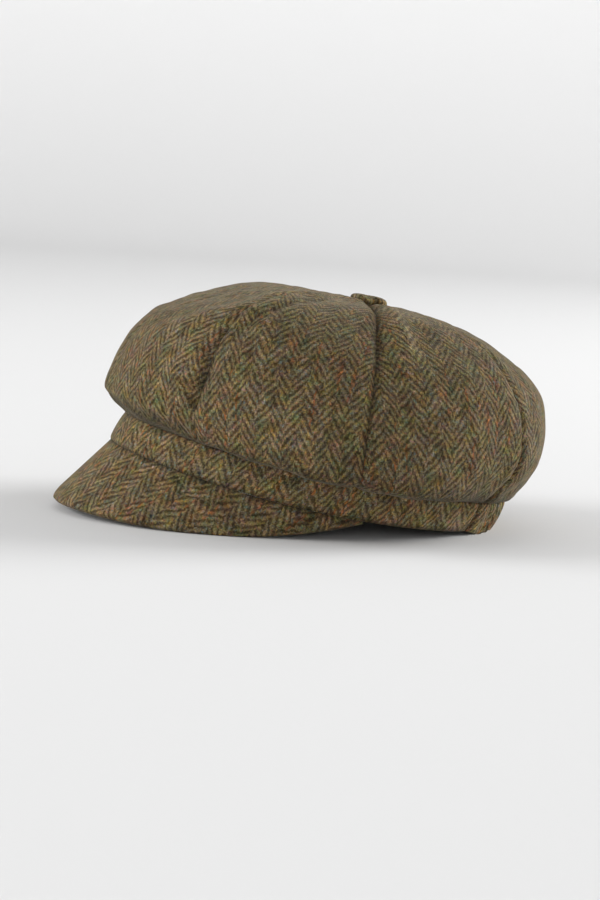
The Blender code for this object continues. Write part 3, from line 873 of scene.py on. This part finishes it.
class WeaveSettings(bpy.types.PropertyGroup):
    """Sizes and yarn colours of the tweed."""

    column_width: length("Column width", "Width of one herringbone column", 0.0075, 0.002)
    column_yarns: IntProperty(name="Column yarns", description="Yarns across one column",
                              default=8, min=2)
    twill_angle: angle("Twill angle", "Slant of the ridges from the column", 36.5)
    stepping: share_of_one("Stepping", "How much the ridges step from yarn to yarn", 0.6)
    fleck_length: length("Fleck length", "Length of one fleck on a yarn", 0.0017, 0.0002)
    ridge_height: length("Ridge height", "Height of the woven relief", 0.0004)
    bump_strength: share_of_one("Relief", "Strength of the woven relief", 0.7)
    speckle: share_of_one("Speckle", "Unevenness of brightness of the fibres", 0.45)
    neps: strength("Neps", "Extra brightness of the palest fibres", 0.9)
    mottle: strength("Mottle", "Unevenness of brightness of the cloth", 1.75)
    hue_zones: strength("Hue zones", "How far zones of the dye differ", 1.35, 2.0)
    tone: strength("Tone", "Brightness of the whole cloth", 0.81)
    # How strongly the hollows' painted shade and the crests' painted highlight are painted
    hollow_shade: share_of_one("Hollow shade", "How much folds darken the cloth", 0.5)
    breaks: strength("Breaks", "How much fibres break up the ridges", 5.6)
    sheen: share_of_one("Sheen", "Soft light on the nap at a glance", 0.16)
    sheen_tint: colour("Sheen tint", "Colour of the nap's sheen", (0.85, 0.78, 0.62))
    beige: colour("Beige yarn", "Main light yarn", (0.216, 0.168, 0.096))
    pale: colour("Pale yarn", "Palest light yarn", (0.373, 0.313, 0.215))
    olive: colour("Olive yarn", "Green light yarn", (0.145, 0.118, 0.036))
    mustard: colour("Mustard yarn", "Yellow light yarn", (0.241, 0.151, 0.028))
    rust: colour("Rust yarn", "Orange light yarn", (0.259, 0.087, 0.028))
    teal: colour("Teal yarn", "Blue-green light yarn", (0.094, 0.129, 0.114))
    mauve: colour("Mauve yarn", "Purple-grey light yarn", (0.173, 0.123, 0.114))
    bark: colour("Bark yarn", "Main dark yarn", (0.050, 0.032, 0.015))
    moss: colour("Moss yarn", "Green dark yarn", (0.059, 0.048, 0.017))
    slate: colour("Slate yarn", "Blue dark yarn", (0.033, 0.039, 0.035))
    chestnut: colour("Chestnut yarn", "Red dark yarn", (0.082, 0.034, 0.014))
    ash: colour("Ash yarn", "Palest dark yarn", (0.103, 0.078, 0.049))

    def light_yarns(self):
        """Ramp rows of the light yarn."""
        return ((0.0, self.teal), (0.15, self.olive), (0.27, self.teal), (0.38, self.beige),
                (0.47, self.olive), (0.55, self.beige), (0.64, self.mustard), (0.74, self.mauve),
                (0.84, self.rust), (0.95, self.pale))

    def dark_yarns(self):
        """Ramp rows of the dark yarn."""
        return ((0.05, self.slate), (0.30, self.bark), (0.45, self.ash), (0.55, self.bark),
                (0.68, self.moss), (0.80, self.chestnut), (0.95, self.ash))


class SewingSettings(bpy.types.PropertyGroup):
    """How the cloth is drawn in at its seams and how soft it lies."""

    seam_depth: length("Seam dip", "Depth of the broad dip at a seam", 0.0013)
    seam_reach: length("Seam reach", "How far from a seam the dip starts", 0.009, 0.001)
    tuck_depth: length("Tuck depth", "Depth of the narrow tuck at the stitches", 0.0017)
    tuck_width: length("Tuck width", "Half width of that tuck", 0.0021, 0.0001)
    pucker_depth: length("Pucker", "Height of the ripples along a seam", 0.0004)
    pucker_spacing: length("Pucker spacing", "Length of those ripples", 0.011, 0.001)
    wrinkle_depth: length("Softness", "Height of the cloth's soft unevenness", 0.0007)
    gather_depth: length("Gathers", "Height of the gathers of the casing", 0.0010)


class StudioSettings(bpy.types.PropertyGroup):
    """Camera, lights and floor."""

    azimuth: angle("Azimuth", "Camera's direction, from the front to the left", 78.74)
    elevation: angle("Elevation", "Camera's height over the floor", 6.69)
    roll: angle("Roll", "Turn of the camera about its line of sight", 3.65)
    distance: length("Distance", "From the camera to the hat", 1.4)
    pixel: length("Pixel", "Size on the hat that one pixel of the view covers", 0.000535)
    target: FloatVectorProperty(name="Target", description="Point at the middle of the view",
                                default=(-0.00134, 0.00097, 0.03584), subtype="TRANSLATION")
    floor: colour("Floor", "Colour of the floor", (0.73, 0.73, 0.73))
    wall: colour("Wall", "Colour of the floor's raised rim", (0.84, 0.84, 0.84))
    sky: strength("Sky", "Strength of the even light from all round", 0.53)
    front: power("Front light", "Power of the soft light before the peak", 106.0)
    rear: power("Rear light", "Power of the soft light behind the hat", 138.0)
    fill: power("Fill light", "Power of the light from the camera's side", 12.0)


def stands_for(piece, node, slot, cloth_of, **look):
    """Let a piece take a frame node's place, with its tweed and its body."""
    weave = bpy.context.scene.tweedcap_weave
    piece.data.materials.append(tweed("tweed_of_" + cloth_of, weave, **look))
    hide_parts(node)
    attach(piece, "root")


class TWEEDCAP_OT_crown(bpy.types.Operator):
    """Sew the eight panels of the crown"""

    bl_idname = "tweedcap.crown"
    bl_label = "Crown panels"

    def execute(self, context):
        for index, (node, lean) in enumerate(PANELS):
            grids = panel_grids(index, context.scene.tweedcap_sewing)
            stands_for(cloth_wall("tweed_" + node, *grids), node, "crown_tweed", node,
                       lean=radians(lean), shift=PANEL_SHIFT * index)
        return {"FINISHED"}


class TWEEDCAP_OT_band(bpy.types.Operator):
    """Sew the band round the head and its gathered casing at the back"""

    bl_idname = "tweedcap.band"
    bl_label = "Band and casing"

    def execute(self, context):
        sewing = context.scene.tweedcap_sewing
        band = cloth_wall("tweed_band", *band_grids(sewing))
        stands_for(band, "band", "band_tweed", "band", **BAND_LOOK)
        casing = cloth_wall("tweed_back_casing", *casing_grids(sewing),
                            inner_lowest=CASING_INNER_LOWEST)
        stands_for(casing, "back_casing", "casing_tweed", "casing", **CASING_LOOK)
        return {"FINISHED"}


class TWEEDCAP_OT_peak(bpy.types.Operator):
    """Cover the peak above and below"""

    bl_idname = "tweedcap.peak"
    bl_label = "Peak"

    def execute(self, context):
        for layer, (node, slot, tone) in enumerate(PEAK_LAYERS):
            piece = cloth_wall("tweed_" + node, *peak_grids(layer))
            stands_for(piece, node, slot, node, tone=tone, shift=PEAK_SHIFT)
        return {"FINISHED"}


class TWEEDCAP_OT_button(bpy.types.Operator):
    """Cover the button on the crown's middle"""

    bl_idname = "tweedcap.button"
    bl_label = "Button"

    def execute(self, context):
        button = ring_solid("tweed_top_button", button_rings(context.scene.tweedcap_sewing))
        stands_for(button, "top_button", "button_tweed", "button", **BUTTON_LOOK)
        return {"FINISHED"}


class TWEEDCAP_OT_studio(bpy.types.Operator):
    """Set the pale floor, the soft lights and the camera"""

    bl_idname = "tweedcap.studio"
    bl_label = "Studio"

    def execute(self, context):
        studio = context.scene.tweedcap_studio
        sweep_floor(studio)
        sky_light(context.scene, studio)
        for name, (place, size) in LIGHTS.items():
            area_light(name + "_light", place, size, getattr(studio, name))
        set_camera(context.scene, studio)
        context.scene.view_settings.view_transform = "Standard"
        return {"FINISHED"}


def sweep_floor(studio):
    """Pale floor: a flat round whose rim curves up as a quarter circle."""
    angle = np.linspace(0, 2 * pi, 96, endpoint=False)
    bend = np.linspace(0, pi / 2, 16)
    reach = np.concatenate([[0.0, 1.0, 2.0], FLOOR_REACH + RIM_RADIUS * np.sin(bend)])
    height = np.concatenate([[0.0, 0.0, 0.0], RIM_RADIUS * (1 - np.cos(bend))])
    points = np.stack([reach[:, None] * np.sin(angle), reach[:, None] * np.cos(angle),
                       height[:, None] + 0 * angle], axis=-1)
    rings = points[1:].reshape(-1, 3)
    number = 1 + np.arange(len(rings)).reshape(-1, len(angle))
    after = np.roll(number, -1, axis=1)
    quads = np.stack([number[:-1], number[1:], after[1:], after[:-1]], axis=-1).reshape(-1, 4)
    faces = quads.tolist()
    faces += np.stack([0 * number[0], number[0], after[0]], axis=-1).tolist()
    mesh = bpy.data.meshes.new("studio_floor")
    mesh.from_pydata([(0.0, 0.0, 0.0)] + rings.tolist(), [], faces)
    floor = shown("studio_floor", mesh)
    bench = NodeBench("studio_paper")
    place = bench.node("ShaderNodeTexCoord").outputs["Object"]
    height = bench.node("ShaderNodeSeparateXYZ", {0: place}).outputs["Z"]
    rise = bench.spread(height, 0.0, RIM_FADE)
    shade = bench.blend(rise, (*studio.floor, 1.0), (*studio.wall, 1.0))
    bench.feed(bench.shader.inputs["Base Color"], shade)
    bench.finish({"Roughness": 1.0, "Specular IOR Level": 0.0})
    mesh.materials.append(bench.material)


def sky_light(scene, studio):
    """Even pale light from all round."""
    world = bpy.data.worlds.new("studio_sky")
    world.use_nodes = True
    background = world.node_tree.nodes["Background"]
    background.inputs["Color"].default_value = (1.0, 1.0, 1.0, 1.0)
    background.inputs["Strength"].default_value = studio.sky
    scene.world = world


def area_light(name, place, size, power):
    """Square area light aimed at the hat."""
    lamp = bpy.data.lights.new(name, "AREA")
    lamp.size = size
    lamp.energy = power
    light = shown(name, lamp)
    light.location = place
    light.rotation_euler = (AIM - Vector(place)).to_track_quat("-Z", "Y").to_euler()


def set_camera(scene, studio):
    """Camera at the photograph's angle: it stands back from the target along its azimuth and
    elevation, is rolled about its line of sight, and its lens follows from the pixel size."""
    turn, rise, roll = studio.azimuth, studio.elevation, studio.roll
    back = Vector((sin(turn) * cos(rise), -cos(turn) * cos(rise), sin(rise)))
    right = Vector((cos(turn), sin(turn), 0.0))
    above = back.cross(right)
    across = right * cos(roll) + above * sin(roll)
    upward = above * cos(roll) - right * sin(roll)
    data = bpy.data.cameras.new("photo_camera")
    data.sensor_width = SENSOR_WIDTH
    data.lens = studio.distance / (studio.pixel * VIEW_HEIGHT_PIXELS) * SENSOR_WIDTH
    data.clip_start, data.clip_end = 0.05, 30.0
    camera = shown("photo_camera", data)
    turned = Matrix((across, upward, back)).transposed().to_4x4()
    place = Vector(studio.target) + back * studio.distance
    camera.matrix_world = Matrix.Translation(place) @ turned
    scene.camera = camera


class TWEEDCAP_PT_panel(bpy.types.Panel):
    """Steps that build the cap"""

    bl_idname = "TWEEDCAP_PT_panel"
    bl_label = "Tweed cap"
    bl_space_type = "VIEW_3D"
    bl_region_type = "UI"
    bl_category = "Tweed cap"

    def draw(self, context):
        for operator in OPERATORS:
            self.layout.operator(operator.bl_idname)
        for group in (context.scene.tweedcap_weave, context.scene.tweedcap_sewing,
                      context.scene.tweedcap_studio):
            box = self.layout.box()
            for key in group.bl_rna.properties.keys():
                if key not in ("rna_type", "name"):
                    box.prop(group, key)


OPERATORS = (TWEEDCAP_OT_crown, TWEEDCAP_OT_band, TWEEDCAP_OT_peak, TWEEDCAP_OT_button,
             TWEEDCAP_OT_studio)
GROUPS = (WeaveSettings, SewingSettings, StudioSettings)
POINTERS = ("tweedcap_weave", "tweedcap_sewing", "tweedcap_studio")


def register():
    """Register the classes and hang the settings on the scene."""
    for item in GROUPS + OPERATORS + (TWEEDCAP_PT_panel,):
        bpy.utils.register_class(item)
    for pointer, group in zip(POINTERS, GROUPS):
        setattr(bpy.types.Scene, pointer, PointerProperty(type=group))


def unregister():
    """Take away the settings and the classes."""
    for pointer in POINTERS:
        delattr(bpy.types.Scene, pointer)
    for item in reversed(GROUPS + OPERATORS + (TWEEDCAP_PT_panel,)):
        bpy.utils.unregister_class(item)


def main():
    """Build every piece and the studio."""
    register()
    bpy.ops.tweedcap.crown()
    bpy.ops.tweedcap.band()
    bpy.ops.tweedcap.peak()
    bpy.ops.tweedcap.button()
    bpy.ops.tweedcap.studio()


if __name__ == "__main__":
    main()
